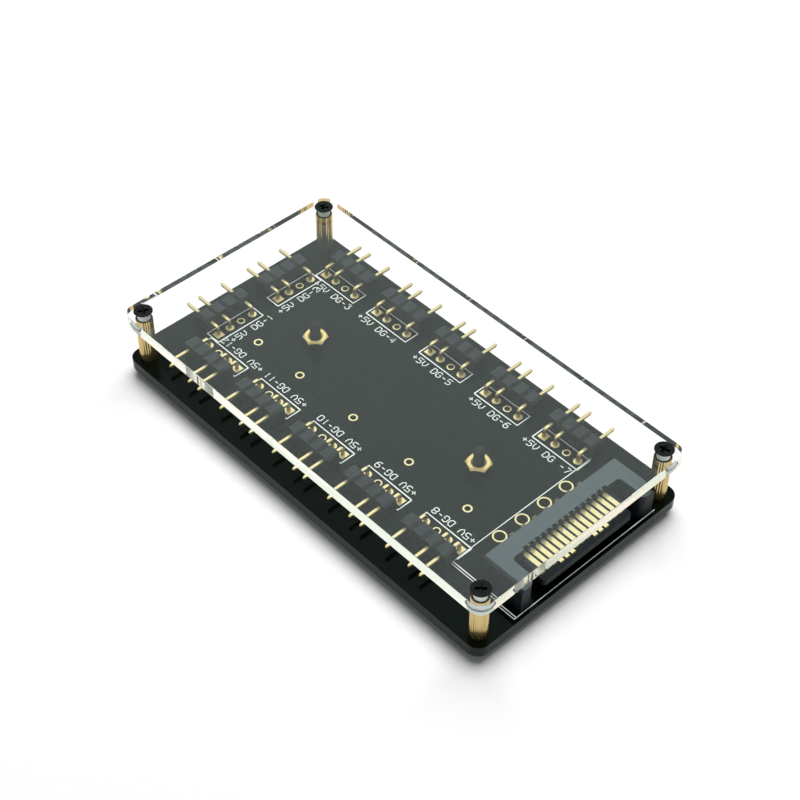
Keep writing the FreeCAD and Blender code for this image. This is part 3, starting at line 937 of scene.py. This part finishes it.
screw_low, screw_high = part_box("cover_screw_front_left")
HEAD = (screw_high.x - screw_low.x) / 2
HEAD_TOP = screw_high.z


def middle_of(node):
    """Middle of a solid's box in plan."""
    low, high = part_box(node)
    return (low.x + high.x) / 2, (low.y + high.y) / 2


flat_profile = [(SHANK, screw_low.z), (SHANK, HEAD_TOP - (HEAD - SHANK)), (HEAD, HEAD_TOP - EDGE),
                (HEAD - EDGE, HEAD_TOP)]
flat_screw = cross_recess(lathe(flat_profile, STEPS), HEAD_TOP, -1)
cover_nodes = ["cover_screw_" + corner for corner in CORNERS]
places = [(*middle_of(node), 0) for node in cover_nodes]
cover_screws = copies_of("cover_screws", flat_screw, places, SCREW_TURNS, black_oxide)
keep(cover_screws, "black_steel", *cover_nodes)

# %% Foot screws
CROWN_STEPS = 6
CROWN = 0.7 * MM

foot_low, foot_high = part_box("foot_screw_front_left")
PAN_HEAD = (foot_high.x - foot_low.x) / 2


def pan_screw(tip):
    """A pan-head screw up to a height, its head down, its crown rounded and recessed."""
    crown = [(PAN_HEAD - CROWN * (1 - math.sin(angle)), CROWN * (1 - math.cos(angle)))
             for angle in [math.pi / 2 * step / CROWN_STEPS for step in range(CROWN_STEPS + 1)]]
    profile = crown + [(PAN_HEAD, BOARD_BOTTOM), (SHANK, BOARD_BOTTOM), (SHANK, tip)]
    return cross_recess(lathe(profile, STEPS), 0.0, 1)


foot_nodes = ["foot_screw_" + corner for corner in CORNERS]
places = [(*middle_of(node), 0) for node in foot_nodes]
foot_screws = copies_of("foot_screws", pan_screw(foot_high.z), places, SCREW_TURNS, black_oxide)
keep(foot_screws, "black_steel", *foot_nodes)

# %% [markdown]
# Threaded ends and nuts
# The two middle screws stand up through their brass nuts, so their threads show. The thread's radius
# follows a zigzag in height that shifts by one pitch in each turn. The nut is a hexagon shared with a
# double cone, which leaves the curved bevels of a real nut, where a Bevel modifier would leave straight
# ones. Where a nut stops on its thread is chance, so each has its own angle.

# %% Thread
THREAD_PITCH = 0.4 * MM
THREAD_DEPTH = 0.16 * MM
THREAD_ROWS = 8
THREAD_END = 0.35 * MM
THREAD_END_CUT = 0.18 * MM
THREAD_CREASE = 50


def threaded(bottom, top):
    """A threaded rod between two heights, with a bevelled end."""
    rows = int((top - bottom) / THREAD_PITCH * THREAD_ROWS)
    made = []
    for row in range(rows + 1):
        height = bottom + (top - bottom) * row / rows
        end = min(1.0, (top - height) / THREAD_END)
        points = []
        for step in range(STEPS):
            angle = 2 * math.pi * step / STEPS
            wave = abs(((height / THREAD_PITCH - step / STEPS) % 1.0) * 2 - 1)
            radius = SHANK - THREAD_DEPTH * wave - THREAD_END_CUT * (1 - end)
            points.append((radius * math.cos(angle), radius * math.sin(angle), height))
        made.append(points)
    return skin("thread", made)


# %% Middle screws
def joined(meshes):
    """Several meshes as one."""
    shape = bmesh.new()
    for mesh in meshes:
        shape.from_mesh(mesh)
    result = bpy.data.meshes.new("joined")
    shape.to_mesh(result)
    shape.free()
    return result


centre_nodes = ["centre_screw_rear", "centre_screw_front"]
centre_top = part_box(centre_nodes[0])[1].z
places = [(*middle_of(node), 0) for node in centre_nodes]
head_mesh = pan_screw(BOARD_TOP)
thread_mesh = threaded(BOARD_TOP, centre_top)
smooth(thread_mesh, THREAD_CREASE)
centre_mesh = joined([head_mesh, thread_mesh])
centre_screws = copies_of("centre_screws", centre_mesh, places, SCREW_TURNS[:2], black_oxide)
keep(centre_screws, "black_steel", *centre_nodes)

# %% Hex nuts
NUT_SIDES = 6
NUT_WIDTH = 4.0 * MM
NUT_TURNS = {"centre_nut_rear": math.radians(47), "centre_nut_front": math.radians(38.5)}
NUT_BEVEL = 0.12 * MM
NUT_SLOPE = math.tan(math.radians(30))
NUT_STEPS = 96
NUT_CREASE = 25
BORE_ROOM = 0.02 * MM
BORE_BEVEL = 0.4 * MM
BORE_BEVEL_DEPTH = 0.25 * MM

nut_low, nut_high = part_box("centre_nut_rear")
nut_flat = NUT_WIDTH / 2
nut_corner = nut_flat / math.cos(math.pi / NUT_SIDES)
slope_height = (nut_corner - nut_flat + NUT_BEVEL) * NUT_SLOPE
bevel_profile = [(nut_flat - NUT_BEVEL, nut_low.z), (nut_corner, nut_low.z + slope_height),
                 (nut_corner, nut_high.z - slope_height), (nut_flat - NUT_BEVEL, nut_high.z)]
bore_profile = [(SHANK + BORE_ROOM, nut_low.z - CUT), (SHANK + BORE_ROOM, nut_high.z - BORE_BEVEL_DEPTH),
                (SHANK + BORE_BEVEL, nut_high.z + CUT)]
nut_mesh = lathe([(nut_corner, nut_low.z), (nut_corner, nut_high.z)], NUT_SIDES)
nut_mesh = carve(nut_mesh, lathe(bevel_profile, NUT_STEPS), "INTERSECT")
nut_mesh = carve(nut_mesh, lathe(bore_profile, STEPS))
smooth(nut_mesh, NUT_CREASE)
places = [(*middle_of(node), 0) for node in NUT_TURNS]
nuts = copies_of("centre_nuts", nut_mesh, places, list(NUT_TURNS.values()), nut_brass)
keep(nuts, "brass", *NUT_TURNS)

# %% [markdown]
# The cover
# The cover is a plate with rounded corners and four countersunk holes. A plate with dead sharp edges
# looks like a drawing, so its outline is drawn a little smaller at both faces, which breaks the edges as
# a polishing wheel does. A drill leaves the wall of a hole frosted, so the faces in the holes get a matt
# white finish. A Bevel modifier could break the edges too, but the edges of the countersinks would have
# to be kept out of it.

# %% Outline of the cover
CORNER_RADIUS = 2.2 * MM
CORNER_STEPS = 12

cover_low, cover_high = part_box("clear_cover")


def plate_outline(inset, height):
    """Points round the plate's outline at a height, drawn in by an inset."""
    points = []
    radius = CORNER_RADIUS - inset
    centre_x = (cover_high.x - cover_low.x) / 2 - CORNER_RADIUS
    centre_y = (cover_high.y - cover_low.y) / 2 - CORNER_RADIUS
    middle_x = (cover_high.x + cover_low.x) / 2
    middle_y = (cover_high.y + cover_low.y) / 2
    for quarter, (sign_x, sign_y) in enumerate(((1, 1), (-1, 1), (-1, -1), (1, -1))):
        for step in range(CORNER_STEPS + 1):
            angle = math.pi / 2 * (quarter + step / CORNER_STEPS)
            points.append((middle_x + sign_x * centre_x + radius * math.cos(angle),
                           middle_y + sign_y * centre_y + radius * math.sin(angle), height))
    return points


print("cover of %.1f by %.1f mm" % ((cover_high.x - cover_low.x) / MM, (cover_high.y - cover_low.y) / MM))

# %% Cover plate
EDGE_BREAK = 0.05 * MM
SINK_ROOM = 0.03 * MM
HOLE = 1.1 * MM
PLATE_CREASE = 20

levels = [(EDGE_BREAK, cover_low.z), (0.0, cover_low.z + EDGE_BREAK), (0.0, cover_high.z - EDGE_BREAK),
          (EDGE_BREAK, cover_high.z)]
cover_mesh = skin("plate", [plate_outline(inset, height) for inset, height in levels])
sink = HEAD - (HEAD_TOP - cover_high.z) + SINK_ROOM
sink_profile = [(HOLE, cover_low.z - CUT), (HOLE, cover_high.z - (sink - HOLE)),
                (sink + CUT, cover_high.z + CUT)]
for node in cover_nodes:
    cutter = lathe(sink_profile, STEPS)
    cutter.transform(Matrix.Translation((*middle_of(node), 0)))
    cover_mesh = carve(cover_mesh, cutter)
smooth(cover_mesh, PLATE_CREASE)
print("countersinks of %.2f mm" % (2 * sink / MM))

# %% Finishes of the cover
LEVEL_FACE = 0.95

cover_mesh.materials.clear()
cover_mesh.materials.append(acrylic)
cover_mesh.materials.append(frost)
drilled = [Vector(middle_of(node)) for node in cover_nodes]
for face in cover_mesh.polygons:
    from_hole = min((face.center.xy - hole).length for hole in drilled)
    face.material_index = 1 if from_hole < sink and abs(face.normal.z) < LEVEL_FACE else 0
keep(new_piece("acrylic_cover", cover_mesh), "clear_acrylic", "clear_cover")
